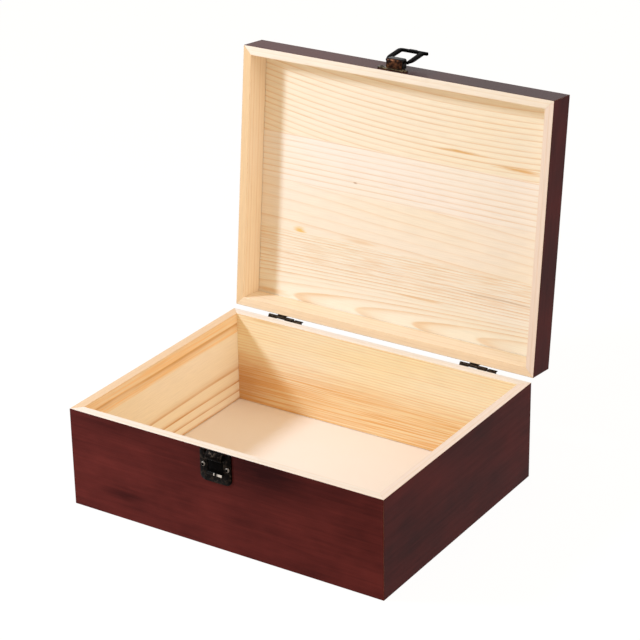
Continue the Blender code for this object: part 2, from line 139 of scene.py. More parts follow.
def addStudio(settings):
    world = bpy.data.worlds.new("studio")
    bpy.context.scene.world = world
    world.use_nodes = True
    tree = world.node_tree
    shade = addNode(tree, "Mix", {0: seenDirectly(tree), 6: linearColour(settings["fill"]),
                                  7: linearColour(settings["backdrop"])}, 2, data_type="RGBA")
    feed(tree, tree.nodes["Background"], {"Color": shade})

    for name, softBox in settings["lamps"].items():
        lamp = bpy.data.lights.new(name + "Lamp", "AREA")
        lamp.shape = "DISK"
        lamp.size = softBox["size"]
        lamp.energy = softBox["power"]
        lamp.color = linearColour(softBox["colour"])[:3]
        holder = addObject(name + "Lamp", lamp)
        way = Vector(softBox["way"]).normalized()
        holder.location = Vector(settings["aim"]) + way * softBox["reach"]
        holder.rotation_euler = way.to_track_quat("Z", "Y").to_euler()

    work = bmesh.new()
    bmesh.ops.create_grid(work, x_segments=1, y_segments=1, size=settings["floorSize"] / 2)
    floor = addObject("floor", meshFrom(work, "floor"))
    paper, tree, shader = newFinish("white_paper")
    feed(tree, shader, {"Base Color": linearColour(settings["floorColour"]),
                        "Roughness": settings["floorRoughness"], "Specular IOR Level": 0.0})
    # the viewer sees white paper with only part of the shadow, as on a lit sweep
    white = addNode(tree, "Emission", {"Strength": settings["floorWhite"]})
    lit = addNode(tree, "Math", (seenDirectly(tree), 1.0 - settings["floorShadow"]), operation="MULTIPLY")
    blended = addNode(tree, "MixShader", (lit, shader.outputs[0], white))
    feed(tree, tree.nodes["Material Output"], {"Surface": blended})
    floor.data.materials.append(paper)
    bpy.context.scene.view_settings.view_transform = "Standard"


addStudio(studio)
print("studio is lit")


# Poses: where the lid and the clasp stand at rest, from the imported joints
def jointNamed(name):
    return next(joint for joint in frame["joints"] if joint["name"] == name)


def turnAbout(axis, angle):
    return Matrix.Translation(axis) @ Matrix.Rotation(-angle, 4, "X") @ Matrix.Translation(-axis)


lidHinge = jointNamed("lid_hinge")
lidOpen = turnAbout(Vector(lidHinge["pos_m"]), math.radians(lidHinge["range_deg"][1]))
claspAxis = lidOpen.inverted() @ Vector(jointNamed("clasp_hinge")["pos_m"])
claspFold = math.radians(169)  # from hanging down to folded back on the lid
restPlace = {"base": Matrix.Identity(4), "lid": lidOpen, "clasp": lidOpen @ turnAbout(claspAxis, claspFold)}


# Mesh steps, with sizes in millimetres
def inMetres(place):
    return [value * mm for value in place]


def faceOut(work):
    bmesh.ops.recalc_face_normals(work, faces=work.faces)


def edgesAt(work, place):
    # the edges that lie wholly at this place, where None stands for anywhere along that axis
    return [edge for edge in work.edges
            if all(goal is None or abs(vert.co[axis] - goal * mm) < 1e-5
                   for vert in edge.verts for axis, goal in enumerate(place))]


def moveNew(work, grown, travel):
    # shifts the vertices that an extrusion has just made
    moved = [item for item in grown["geom"] if isinstance(item, bmesh.types.BMVert)]
    bmesh.ops.translate(work, vec=inMetres(travel), verts=moved)
    return moved


def extrudeOutline(corners, travel):
    # a flat outline pushed straight through
    work = bmesh.new()
    face = work.faces.new([work.verts.new(inMetres(corner)) for corner in corners])
    moveNew(work, bmesh.ops.extrude_face_region(work, geom=[face]), travel)
    faceOut(work)
    return work


def hollowOut(work, faces, wall, travel):
    # leaves a wall round the faces and sinks the rest, so that a block becomes a shell
    bmesh.ops.inset_region(work, faces=faces, thickness=wall * mm)
    moveNew(work, bmesh.ops.extrude_face_region(work, geom=faces), travel)
    bmesh.ops.delete(work, geom=[face for face in faces if face.is_valid], context="FACES_ONLY")


def softenEdges(work, edges, width, steps):
    bmesh.ops.bevel(work, geom=edges, offset=width * mm, offset_type="OFFSET", segments=steps, profile=0.5,
                    affect="EDGES", material=-1, clamp_overlap=True)


def easeSharp(work, width, steps=2, sharper=1.0):
    softenEdges(work, [edge for edge in work.edges if edge.calc_face_angle(0) > sharper], width, steps)


def trim(work, point, normal):
    # saws off what lies beyond a plane through this point, given in metres, and closes the cut
    everything = work.verts[:] + work.edges[:] + work.faces[:]
    sawn = bmesh.ops.bisect_plane(work, geom=everything, dist=1e-6, plane_co=point, plane_no=normal,
                                  clear_outer=True)
    rim = [item for item in sawn["geom_cut"] if isinstance(item, bmesh.types.BMEdge)]
    bmesh.ops.edgeloop_fill(work, edges=rim)


def markBoard(work, measure):
    # every vertex keeps its place on its own board: along, across and deep, before the board is turned
    layer = work.verts.layers.float_vector.new("board")
    for vert in work.verts:
        vert[layer] = measure(vert.co)


def addPiece(name, work, body, finishes, nodes, round=None):
    # round is the angle under which neighbouring faces shade as one, for metal
    faceOut(work)
    for face in work.faces:
        face.smooth = round is not None
    mesh = meshFrom(work, name)
    if round is not None:
        mesh.set_sharp_from_angle(angle=math.radians(round))
    for finish in finishes:
        mesh.materials.append(finish)
    mesh.transform(restPlace[body])
    piece = addObject(name, mesh)
    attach(piece, body)
    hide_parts(*nodes)


# Patterns that several finishes share, with sizes in millimetres
def grainNoise(tree, place, size, along=1.0, detail=2.0, roughness=0.55):
    # clouds of this size, drawn out along the grain where along is under 1
    drawn = addNode(tree, "Mapping", {"Vector": place, "Scale": (along, 1, 1)})
    return addNode(tree, "TexNoise", {"Vector": drawn, "Scale": 1 / (size * mm), "Detail": detail,
                                      "Roughness": roughness})


def spotShade(tree, place, spot, noise, ragged):
    # how strongly a spot shows, with its edge torn by a noise and a full core of this share of its size
    tearing, core = ragged
    centred = addNode(tree, "Mapping", {
        "Vector": place, "Location": (-spot["along"] / spot["length"], -spot["across"] / spot["width"], 0),
        "Scale": (1 / (spot["length"] * mm), 1 / (spot["width"] * mm), 0)})
    away = addNode(tree, "VectorMath", (centred,), "Value", operation="LENGTH")
    tear = addNode(tree, "Math", (noise, 0.5), operation="SUBTRACT")
    torn = addNode(tree, "Math", (tear, tearing, away), operation="MULTIPLY_ADD")
    return addNode(tree, "MapRange", (torn, 1.0, core, 0.0, spot["strength"]))


# Raw pine: sawn and sanded softwood, so pale early wood with thin amber late-wood lines and no gloss
pineHabit = {
    "pith": (-60, 40),      # where the middle of the trunk is: across the board, and deep below its raw face
    "lean": (0.0, 0.0),     # how fast the trunk leaves the board, across and deep
    "bow": (0, 200, 0),     # the grain bends by the last figure, this far from the first
    "ring": 4.4, "line": 0.22, "strength": 0.6, "faint": 0.35, "phase": 0.0,
    "sway": 1.6, "swayLength": 60.0, "fibre": 0.07,
    "late": "#e2b068", "amber": "#e0aa52", "bands": [], "marks": [], "ragged": (1.6, 0.25),
    "relief": 0.05, "roughness": 0.62, "gloss": 0.25,
}


def pineFinish(name, own):
    settings = {**pineHabit, **own}
    finish, tree, shader = newFinish(name)
    seen = addNode(tree, "Attribute", (), "Vector", attribute_name="board")
    place = addNode(tree, "Mapping", {"Vector": seen, "Location": (-settings["start"] * mm, 0, 0)})
    along = addNode(tree, "SeparateXYZ", (place,))
    across = along.node.outputs["Y"]

    # the trunk wanders slowly, far more slowly along the grain than across it
    sway = grainNoise(tree, seen, settings["swayLength"], 0.22, roughness=0.4).node.outputs["Color"]
    centred = addNode(tree, "VectorMath", (sway, (0.5, 0.5, 0.5)), operation="SUBTRACT")
    wander = addNode(tree, "VectorMath", {0: centred, "Scale": 4 * settings["sway"] * mm}, operation="SCALE")
    centre, reach, bend = settings["bow"]
    off = addNode(tree, "Math", (along, 1 / (reach * mm), -centre / reach), operation="MULTIPLY_ADD")
    square = addNode(tree, "Math", (off, off), operation="MULTIPLY")
    bow = addNode(tree, "Math", (square, bend * mm), operation="MULTIPLY")
    bent = addNode(tree, "VectorMath", (place, addNode(tree, "CombineXYZ", {"Y": bow})), operation="ADD")
    swayed = addNode(tree, "VectorMath", (bent, wander), operation="ADD")
    pith, lean = settings["pith"], settings["lean"]
    trunk = addNode(tree, "Mapping", {"Vector": swayed, "Location": (0, -pith[0] * mm, -pith[1] * mm),
                                      "Rotation": (0, lean[1], -lean[0])})
    slab = addNode(tree, "VectorMath", (trunk, (0.0, 1.0, 1.0)), operation="MULTIPLY")
    radius = addNode(tree, "VectorMath", (slab,), "Value", operation="LENGTH")

    # rings: even early wood, late wood that darkens slowly and stops sharply
    rings = addNode(tree, "Math", (radius, 1 / (settings["ring"] * mm), settings["phase"]),
                    operation="MULTIPLY_ADD")
    late = addNode(tree, "ValToRGB", (addNode(tree, "Math", (rings,), operation="FRACT"),))
    line = settings["line"]
    shades = [(0.0, 0.1), (0.05, 0.0), (1 - 2.2 * line, 0.04), (1 - 1.1 * line, 0.4), (1 - 0.5 * line, 1.0),
              (1 - 0.2 * line, 1.0), (1.0, 0.1)]
    points = late.node.color_ramp.elements
    while len(points) < len(shades):
        points.new(0.5)
    for point, (spot, shade) in zip(points, shades):
        point.position = spot
        point.color = (shade, shade, shade, 1.0)
    whole = addNode(tree, "Math", (rings,), operation="FLOOR")
    chance = addNode(tree, "TexWhiteNoise", {"W": whole}, noise_dimensions="1D")
    bold = addNode(tree, "MapRange", (chance, 0.0, 1.0, settings["faint"], 1.0))
    fade = addNode(tree, "MapRange", (grainNoise(tree, seen, 8.0, 0.14), 0.3, 0.6, 0.6, 1.0))
    lines = addNode(tree, "Math", (addNode(tree, "Math", (late, bold), operation="MULTIPLY"), fade),
                    operation="MULTIPLY")

    # fibres, drawn 0.9 mm wide because real ones are too fine to show
    fibre = grainNoise(tree, seen, 0.9, 0.045)
    tint = addNode(tree, "MapRange", (grainNoise(tree, seen, 38.0, 0.3, 1.0), 0.3, 0.7))
    layers = [(tint, settings["yellow"])]
    for band in settings["bands"]:
        # slow-grown wood: a stretch across the board with close fine lines and a warmer ground; low on the
        # back wall that ground is also painted shade towards the floor
        edges = [addNode(tree, "MapRange", (across, (band[side] + way * band["soft"]) * mm, band[side] * mm))
                 for side, way in (("from", -1), ("to", 1))]
        inside = addNode(tree, "Math", edges, operation="MULTIPLY")
        close = grainNoise(tree, trunk, band["spacing"], 0.012, 1.0)
        ground = band["ground"]
        streaks = addNode(tree, "MapRange", (close, 0.44, 0.62, ground, ground + band["lines"]))
        layers.append((addNode(tree, "Math", (inside, streaks), operation="MULTIPLY"),
                       band.get("colour", settings["late"])))
    drawn = addNode(tree, "Math", (lines, settings["strength"]), operation="MULTIPLY")
    layers.append((drawn, settings["late"]))
    for mark in settings["marks"]:
        # a resin streak, a pin knot or a speck, longer along the grain than across; on the back wall also a
        # patch of painted shade in the corner by the left wall
        spot = spotShade(tree, place, mark, fibre, settings["ragged"])
        layers.append((spot, mark.get("colour", settings["amber"])))
    wood = linearColour(settings["pink"])
    for share, colour in layers:
        wood = addNode(tree, "Mix", {0: share, 6: wood, 7: linearColour(colour)}, 2, data_type="RGBA")
    depth = settings["fibre"]
    shade = addNode(tree, "MapRange", (fibre, 0.3, 0.75, 1.0 + depth * 0.4, 1.0 - depth))
    coloured = addNode(tree, "VectorMath", {0: wood, "Scale": shade}, operation="SCALE")
    ridge = addNode(tree, "Math", (fibre, 0.4, lines), operation="MULTIPLY_ADD")
    bump = addNode(tree, "Bump", {"Height": ridge, "Strength": 0.25, "Distance": settings["relief"] * mm})
    feed(tree, shader, {"Base Color": coloured, "Normal": bump,
                        "Roughness": settings["roughness"], "Specular IOR Level": settings["gloss"]})
    return finish


# Mahogany stain on pine under a thin satin lacquer: nearly opaque, so the grain is a faint darker streak.
# Cloud and streak are sizes, and how far each is drawn out along the grain
stain = {
    "red": "#682b29",
    "dark": "#411818",
    "cloud": (34.0, 0.6),
    "streak": (2.4, 0.05),
    "streakShare": 0.3,
    "spread": (0.32, 0.72),
    "darkest": 1.3,
    "ragged": (1.2, 0.2),
    "relief": 0.08,
    "gloss": 0.035,
    "roughness": (0.36, 0.48),
    "poolsAndShade": [],
}
# Where the stain pooled on the front board, from its right end and down from the rim
frontPools = [
    {"along": 112, "across": 8, "length": 78, "width": 30, "strength": 0.75},
    {"along": 240, "across": 64, "length": 26, "width": 5, "strength": 0.5},
    {"along": 22, "across": 6, "length": 44, "width": 18, "strength": 0.45},
    {"along": 240, "across": 4, "length": 80, "width": 14, "strength": 0.35},
]
# Painted shade along the foot of the right board, darker towards the floor
footShade = [{"along": 115, "across": 92, "length": 230, "width": 52, "strength": 0.95}]
# Painted shadow of the clasp mount's housing on the lid's front rail, beside the mount, with the rail's start
# counted in
mountShadow = [{"along": 2234, "across": 15, "length": 26, "width": 40, "strength": 1.1},
             {"along": 2140, "across": 13, "length": 120, "width": 60, "strength": 0.95}]


def stainFinish(name, own):
    settings = {**stain, **own}
    finish, tree, shader = newFinish(name)
    place = addNode(tree, "Attribute", (), "Vector", attribute_name="board")
    cloud = grainNoise(tree, place, *settings["cloud"], 3.0)
    streak = grainNoise(tree, place, *settings["streak"], 3.0, 0.6)
    mottle = addNode(tree, "Mix", {0: settings["streakShare"], 2: cloud, 3: streak}, data_type="FLOAT")
    dark = addNode(tree, "MapRange", (mottle, *settings["spread"]))
    # each spot darkens the stain: on the front board they are stain pools, at the right board's foot and
    # beside the clasp mount painted shade and shadow
    for darkSpot in settings["poolsAndShade"]:
        spot = spotShade(tree, place, darkSpot, cloud, settings["ragged"])
        dark = addNode(tree, "Math", (dark, spot), operation="ADD")
    dark = addNode(tree, "Math", (dark, settings["darkest"]), operation="MINIMUM")
    shades = [linearColour(settings[shade]) for shade in ("red", "dark")]
    colour = addNode(tree, "Mix", {0: dark, 6: shades[0], 7: shades[1]}, 2, data_type="RGBA",
                     clamp_factor=False)
    bump = addNode(tree, "Bump", {"Height": streak, "Strength": 0.2, "Distance": settings["relief"] * mm})
    feed(tree, shader, {"Base Color": colour, "Normal": bump,
                        "Roughness": addNode(tree, "MapRange", (streak, 0.0, 1.0, *settings["roughness"])),
                        "Specular IOR Level": settings["gloss"]})
    return finish


stains = {
    "plain": stainFinish("mahogany_stain", {}),
    "front": stainFinish("mahogany_stain_front", {"poolsAndShade": frontPools}),
    # a darker copy of the stain for the right-hand boards, which face away from the key lamp: painted shade
    "shade": stainFinish("mahogany_stain_painted_shade", {"red": "#4d191a", "dark": "#2c0f12", "poolsAndShade": footShade}),
    # a darker copy of the stain for the lid's front rail, which looks up when the lid stands open: painted
    # shade, with the clasp mount's painted shadow beside the mount
    "top": stainFinish("mahogany_stain_top_painted_shade", {"gloss": 0.03, "roughness": (0.2, 0.28), "red": "#54201d",
                                               "poolsAndShade": mountShadow}),
}

# Sizes of the two frames of boards
woodFrame = {
    "width": 290.0,
    "depth": 228.4,
    "wall": 8.5,
    "rail": 7.6,
    "baseHeight": 85.0,
    "lidFoot": 86.24,
    "lidTop": 113.24,
    "rabbet": 4.2,
    "floor": 3.5,
    "panel": 3.8,
    "outerRound": 0.5,
    "innerRound": 0.3,
    "mitreGap": 0.08,
}
halfWidth = woodFrame["width"] / 2
halfDepth = woodFrame["depth"] / 2


def boardSection(thickness, low, high, rabbetOnTop):
    # a board's end, distance in from the outer face against height, and which corners are eased
    stepIn = thickness - woodFrame["rabbet"]
    if rabbetOnTop:
        ledge, rim = high - woodFrame["panel"], low
        corners = [(0, low), (thickness, low), (thickness, ledge), (stepIn, ledge), (stepIn, high), (0, high)]
    else:
        ledge, rim = low + woodFrame["floor"], high
        corners = [(0, low), (stepIn, low), (stepIn, ledge), (thickness, ledge), (thickness, high), (0, high)]
    return corners, {(0, low): "outerRound", (0, high): "outerRound", (thickness, rim): "innerRound"}


def sawBoard(section, span, setback):
    # drawn as the front board of its frame, then mitred at both ends
    corners, eased = section
    work = extrudeOutline([(-span / 2, inward - setback, height) for inward, height in corners], (span, 0, 0))
    for (inward, height), size in eased.items():
        softenEdges(work, edgesAt(work, (None, inward - setback, height)), woodFrame[size], 3)
    bend = woodFrame["outerRound"] * mm
    for side in (-1, 1):
        mitre = Vector((side, 1, 0)).normalized()
        corner = Vector(inMetres((side * span / 2, -setback, 0)))
        trim(work, corner - mitre * woodFrame["mitreGap"] / 2 * mm, mitre)
        # the corner of the box is rounded in three cuts, each board up to its mitre
        hub = corner + Vector((-side * bend, bend, 0))
        for turn in (15, 30, 45):
            outward = Vector((side * math.sin(math.radians(turn)), -math.cos(math.radians(turn)), 0))
            trim(work, hub + outward * bend, outward)
    faceOut(work)
    return work


def addBoard(name, node, body, section, side, board, stainedUp):
    # raw on its inner face and on the rim where base and lid meet, stained outside
    span, setback, quarters = sides[side]
    work = sawBoard(section, span, setback)
    rim = woodFrame["baseHeight"] if stainedUp < 0 else woodFrame["lidFoot"]
    thickness = woodFrame["wall"] if stainedUp < 0 else woodFrame["rail"]
    rabbetFace = (thickness - woodFrame["rabbet"] - setback) * mm
    for face in work.faces:
        inRabbet = abs(face.calc_center_median().y - rabbetFace) < 1e-5 and face.normal.y > 0.9
        if face.normal.y < -0.5 or face.normal.z * stainedUp > 0.9 or inRabbet:
            face.material_index = 0
        elif face.normal.z * stainedUp < -0.5:
            face.material_index = 2
        else:
            face.material_index = 1
    markBoard(work, lambda spot: Vector(((span / 2 + board["start"]) * mm - spot.x,
                                         (rim * mm - spot.z) * -stainedUp,
                                         (thickness - setback) * mm - spot.y)))
    turn = Matrix.Rotation(quarters * math.pi / 2, 3, "Z")
    bmesh.ops.rotate(work, cent=(0, 0, 0), matrix=turn, verts=work.verts)
    ownRim = {"pink": board["rim"], "yellow": board["rim"]} if "rim" in board else {}
    finishes = [stains[board.get("stain", "plain")], pineFinish(name + "_face", board),
                pineFinish(name + "_rim", {**rimPine, "start": board["start"], **ownRim})]
    addPiece(name, work, body, finishes, [node])


sides = {
    "front": (woodFrame["width"], halfDepth, 0),
    "right": (woodFrame["depth"], halfWidth, 1),
    "back": (woodFrame["width"], halfDepth, 2),
    "left": (woodFrame["depth"], halfWidth, 3),
}
# The rims are planed last, so they are the palest wood
rimPine = {"pink": "#f9f5f2", "yellow": "#f8f4ee", "late": "#e7cba2", "ring": 3.0, "strength": 0.35,
           "pith": (20, 30), "sway": 1.0}

# The base's four walls. Across is measured down from the rim, along from the right end seen from outside
wallPine = {"pink": "#fcedd6", "yellow": "#fbeaca", "late": "#d29a50", "strength": 0.75}
baseBoards = {
    "front": {**wallPine, "start": 0, "stain": "front", "pith": (50, 70), "lean": (0.01, 0.02)},
    "right": {**wallPine, "start": 400, "stain": "shade", "pith": (-60, 20), "ring": 3.2, "lean": (0.01, 0.0),
              "rim": "#f7eeea"},
    "back": {**wallPine, "start": 900, "pith": (-105, 24), "ring": 2.5, "lean": (-0.006, 0.0), "line": 0.3,
             "strength": 0.6, "pink": "#fff5d9", "yellow": "#fff1c9", "late": "#eaac5c",
             # the band low on this wall has close fine lines, and its warmer, darker ground is also painted
             # shade towards the floor
             "bands": [{"from": 54, "to": 90, "soft": 24, "spacing": 1.2, "ground": 0.3, "lines": 0.5}],
             # the first mark is painted shade: it deepens the left wall's shadow in the back wall's lower
             # corner
             "marks": [{"along": 12, "across": 66, "length": 38, "width": 34, "strength": 0.5,
                        "colour": "#b97434"},
                       {"along": 40, "across": 2, "length": 30, "width": 1.3, "strength": 0.5}]},
    # the left wall's paler wood is painted light, standing in for light from the right that the lamps do not
    # give this wall
    "left": {**wallPine, "start": 1500, "pith": (31, 58), "ring": 4.9, "strength": 0.95, "faint": 0.75,
             "sway": 0.8, "line": 0.2, "phase": 0.28, "pink": "#fff5e3", "yellow": "#fef3da",
             "rim": "#f0d6b8",
             "bands": [{"from": -5, "to": 16.5, "soft": 1.5, "spacing": 0.9, "ground": 0.3, "lines": 0.45,
                        "colour": "#ffcf88"}]},
}
baseSection = boardSection(woodFrame["wall"], 0.0, woodFrame["baseHeight"], False)
for side, board in baseBoards.items():
    addBoard("pine_wall_" + side, side + "_wall", "base", baseSection, side, board, -1)
print("base walls are joined")

# The lid's four rails, measured from the rim that meets the base
railPine = {"pink": "#fceedb", "yellow": "#fbebd0", "late": "#deb074", "ring": 3.6, "strength": 0.4,
            "sway": 1.0}
lidBoards = {
    "front": {**railPine, "start": 2100, "pith": (-60, 40), "stain": "top", "rim": "#f9f1e4"},
    "right": {**railPine, "start": 2600, "pith": (60, 60), "stain": "shade", "rim": "#f6e8de"},
    "back": {**railPine, "start": 3100, "pith": (60, 50), "rim": "#fbe6c8"},
    "left": {**railPine, "start": 3700, "pith": (-50, 30), "pink": "#feedd6", "yellow": "#fdeacd",
             "rim": "#efd0a6"},
}
lidSection = boardSection(woodFrame["rail"], woodFrame["lidFoot"], woodFrame["lidTop"], True)
for side, board in lidBoards.items():
    addBoard("pine_rail_" + side, "lid_{}_rail".format(side), "lid", lidSection, side, board, 1)
print("lid rails are joined")

# The lid's panel: four boards glued edge to edge, from the clasp to the hinges
panelBoards = {
    "one": {"to": 67.5, "start": 4300, "pith": (-110, 40), "ring": 4.6, "line": 0.19, "strength": 0.76,
            "faint": 0.5, "bow": (190, 190, 17), "pink": "#fcf4e4", "yellow": "#fcf3de", "sway": 1.1,
            "marks": [{"along": 192, "across": 54.0, "length": 30, "width": 1.5, "strength": 0.8},
                      {"along": 245, "across": 60.0, "length": 27, "width": 2.0, "strength": 0.8}]},
    "two": {"to": 109.0, "start": 4900, "pith": (-60, 20), "ring": 5.0, "line": 0.17, "strength": 0.64,
            "faint": 0.45, "pink": "#fdf7f1", "yellow": "#fcf6eb", "sway": 0.5,
            "marks": [{"along": 93, "across": 98.5, "length": 2.6, "width": 0.9, "strength": 0.8,
                       "colour": "#b07a40"}]},
    "three": {"to": 152.0, "start": 5500, "pith": (200, 90), "ring": 5.4, "line": 0.17, "strength": 0.42,
              "pink": "#fcf4e8", "yellow": "#fcf3e2", "sway": 2.4, "lean": (0.05, 0.0),
              "marks": [{"along": 40, "across": 150.5, "length": 7, "width": 4.0, "strength": 1.0,
                         "colour": "#f2cd80"},
                        {"along": 100, "across": 149, "length": 19, "width": 2.0, "strength": 0.35}]},
    "four": {"to": 217.1, "start": 6100, "pith": (209, 25), "ring": 2.2, "line": 0.28, "strength": 0.74,
             "lean": (0.0, -0.035), "pink": "#fdfaf2", "yellow": "#fdf9eb", "sway": 0.7, "faint": 0.2,
             "bands": [{"from": 152, "to": 176, "soft": 5, "spacing": 0.9, "ground": 0.02, "lines": 0.28}],
             "marks": [{"along": 160, "across": 186, "length": 34, "width": 1.3, "strength": 0.5},
                       {"along": 235, "across": 171, "length": 60, "width": 1.0, "strength": 0.5,
                        "colour": "#b98d54"},
                       {"along": 12, "across": 210, "length": 22, "width": 3.0, "strength": 0.5}]},
}
panelSeat = {"margin": 3.7, "easing": 0.12, "thickness": 3.5}


def addPanel(boards):
    margin, inside = panelSeat["margin"], woodFrame["rail"]
    low, high = woodFrame["lidTop"] - panelSeat["thickness"], woodFrame["lidTop"]
    edge, begin = halfWidth - margin, margin - halfDepth
    for name, board in boards.items():
        end = min(inside - halfDepth + board["to"], halfDepth - margin)
        work = extrudeOutline([(-edge, begin, low), (-edge, end, low), (-edge, end, high),
                               (-edge, begin, high)], (2 * edge, 0, 0))
        longEdges = [side for side in work.edges if abs(side.verts[0].co.x - side.verts[1].co.x) > edge * mm]
        softenEdges(work, longEdges, panelSeat["easing"], 1)
        for face in work.faces:
            face.material_index = 0 if face.normal.z > -0.3 else 1
        markBoard(work, lambda spot: Vector((spot.x + (halfWidth - inside + board["start"]) * mm,
                                             spot.y + (halfDepth - inside) * mm, spot.z - low * mm)))
        addPiece("lid_board_" + name, work, "lid",
                 [stains["plain"], pineFinish("lid_board_" + name + "_face", board)], ["lid_panel"])
        begin = end


addPanel(panelBoards)
print("lid panel is glued up")

# Birch plywood floor: rotary cut, so almost no figure, only pale pink clouds
plywood = {
    "pale": "#fbf6f4",
    "pink": "#faf3ee",
    "cloud": (55.0, 0.35),  # size, and how far it is drawn out along the grain
    "roughness": 0.6,
    "gloss": 0.25,
}


def plywoodFinish(name, settings):
    finish, tree, shader = newFinish(name)
    cloud = grainNoise(tree, addNode(tree, "TexCoord", (), "Object"), *settings["cloud"])
    colour = addNode(tree, "Mix", {0: cloud, 6: linearColour(settings["pale"]),
                                   7: linearColour(settings["pink"])}, 2, data_type="RGBA")
    feed(tree, shader, {"Base Color": colour, "Roughness": settings["roughness"],
                        "Specular IOR Level": settings["gloss"]})
    return finish


def keepNode(node, finish):
    # a CAD solid whose shape is right keeps its mesh and only gets a better finish
    for holder in frame["nodes"][node].material_slots:
        holder.link = "OBJECT"
        holder.material = finish


keepNode("bottom_panel", plywoodFinish("birch_plywood", plywood))
print("floor is laid")

# Aged bronze plating on pressed steel: almost black in the hollows, grey-brown where hands rub it
bronze = {"dark": "#0a0706", "wornAndSheen": "#3d3128", "patch": 2.2, "wear": 0.5, "roughness": (0.3, 0.46),
          "metallic": 1.0, "gloss": 0.5, "pore": 0.35, "pitting": 0.03, "bareAndGlints": []}
# Bronze plating thinned by fingers: the copper under it shows red-brown
rubbedCopper = {**bronze, "dark": "#211410", "wornAndSheen": "#75492f", "patch": 3.0, "wear": 0.6}
# The mount's ears are a lighter olive brown: painted sheen, for the white studio they reflect at a grazing
# angle
ears = {**rubbedCopper, "dark": "#231b15", "wornAndSheen": "#7d6a4c", "patch": 1.4}
# The hinges' plating is lighter, matt and even
hinges = {**bronze, "dark": "#2b221c", "wornAndSheen": "#6b5947", "patch": 1.6, "roughness": (0.45, 0.6)}
# Screw heads lose their plating to the driver, so the pale steel shows; the pale head is also a painted ring
# highlight
screwHeadsWearAndHighlight = {**bronze, "dark": "#6a6058", "wornAndSheen": "#b0a69a", "patch": 0.9}
# Blackened parts wear a matt oxide skin, so they shine hardly at all; the same black is also painted shade
# behind the catch's window and in the screw heads' middles
blackenedAndShade = {**bronze, "dark": "#050404", "wornAndSheen": "#120f0e", "metallic": 0.0, "gloss": 0.02}
# The lip is rubbed bright where the loop's bar slides over it; its two bright stretches across it are also a
# painted highlight, where the upturned lip catches the light
brightSteelHighlight = {**bronze, "dark": "#1c1816", "wornAndSheen": "#cfc4b8", "patch": 1.6, "wear": 0.25,
               "roughness": (0.2, 0.35),
               "bareAndGlints": [{"at": 1.7, "half": 1.4, "soft": 2.2}, {"at": -4.0, "half": 0.1, "soft": 0.6}]}


def metalFinish(name, settings):
    finish, tree, shader = newFinish(name)
    place = addNode(tree, "TexCoord", (), "Object")
    patch = grainNoise(tree, place, settings["patch"], detail=3.0)
    pores = grainNoise(tree, place, settings["pore"])
    wornAndSheen = addNode(tree, "MapRange", (patch, 1.0 - settings["wear"], 0.78))
    # bright stretches across a piece: wear, and on the lip also a painted highlight
    for spot in settings["bareAndGlints"]:
        across = addNode(tree, "SeparateXYZ", (place,))
        off = addNode(tree, "Math", (across, spot["at"] * mm), operation="SUBTRACT")
        away = addNode(tree, "Math", (off,), operation="ABSOLUTE")
        rubbedAndLit = addNode(tree, "MapRange", (away, (spot["half"] + spot["soft"]) * mm, spot["half"] * mm))
        wornAndSheen = addNode(tree, "Math", (wornAndSheen, rubbedAndLit), operation="MAXIMUM")
    # the lighter colour is wear, and on the ears, the lip and the screw heads also painted sheen and
    # highlight
    colour = addNode(tree, "Mix", {0: wornAndSheen, 6: linearColour(settings["dark"]),
                                   7: linearColour(settings["wornAndSheen"])}, 2, data_type="RGBA")
    smoothest, roughest = settings["roughness"]
    bump = addNode(tree, "Bump", {"Height": pores, "Strength": 0.3, "Distance": settings["pitting"] * mm})
    feed(tree, shader, {"Base Color": colour, "Normal": bump, "Metallic": settings["metallic"],
                        "Roughness": addNode(tree, "MapRange", (patch, 0.3, 0.7, roughest, smoothest)),
                        "Specular IOR Level": settings["gloss"]})
    return finish


agedBronze = metalFinish("aged_bronze_plating", bronze)
wornBronze = metalFinish("rubbed_bronze_plating", rubbedCopper)
earSheenBronze = metalFinish("ear_bronze_painted_sheen", ears)
hingeBronze = metalFinish("aged_bronze_hinge", hinges)
blackSteelAndShade = metalFinish("black_steel_and_painted_shade", blackenedAndShade)
springSteelHighlight = metalFinish("spring_steel_wear_and_painted_highlight", brightSteelHighlight)
screwWearAndHighlight = metalFinish("screw_head_wear_and_painted_highlight", screwHeadsWearAndHighlight)


# Fittings of sheet and rod: places are across the box, out from its middle and up
def pressSheet(blank, holes, out, thickness, wood):
    # a rectangular blank with holes or notches, on the front (wood -1) or the back (wood 1)
    left, low, right, high = blank
    work = bmesh.new()
    work.faces.new([work.verts.new(inMetres((x, wood * (halfDepth + out), z)))
                    for x, z in ((left, low), (right, low), (right, high), (left, high))])
    for left, low, right, high in holes:
        for point, normal in (((left, 0, 0), (1, 0, 0)), ((right, 0, 0), (1, 0, 0)),
                              ((0, 0, low), (0, 0, 1)), ((0, 0, high), (0, 0, 1))):
            bmesh.ops.bisect_plane(work, geom=work.verts[:] + work.edges[:] + work.faces[:], dist=1e-6,
                                   plane_co=Vector(point) * mm, plane_no=normal)
        inside = [face for face in work.faces
                  if left * mm < face.calc_center_median().x < right * mm
                  and low * mm < face.calc_center_median().z < high * mm]
        bmesh.ops.delete(work, geom=inside, context="FACES")
    moveNew(work, bmesh.ops.extrude_face_region(work, geom=work.faces[:]), (0, wood * thickness, 0))
    faceOut(work)
    return work


def roundCorners(work, corners):
    # rounds the edges that run through the sheet at these (across, up, radius) places
    for across, up, radius in corners:
        softenEdges(work, edgesAt(work, (across, None, up)), radius, 5)


def easeRim(work, level, width):
    # breaks the sharp edges of the sheet's outer face
    rim = [edge for edge in edgesAt(work, (None, level, None)) if edge.calc_face_angle(0) > 0.6]
    softenEdges(work, rim, width, 2)


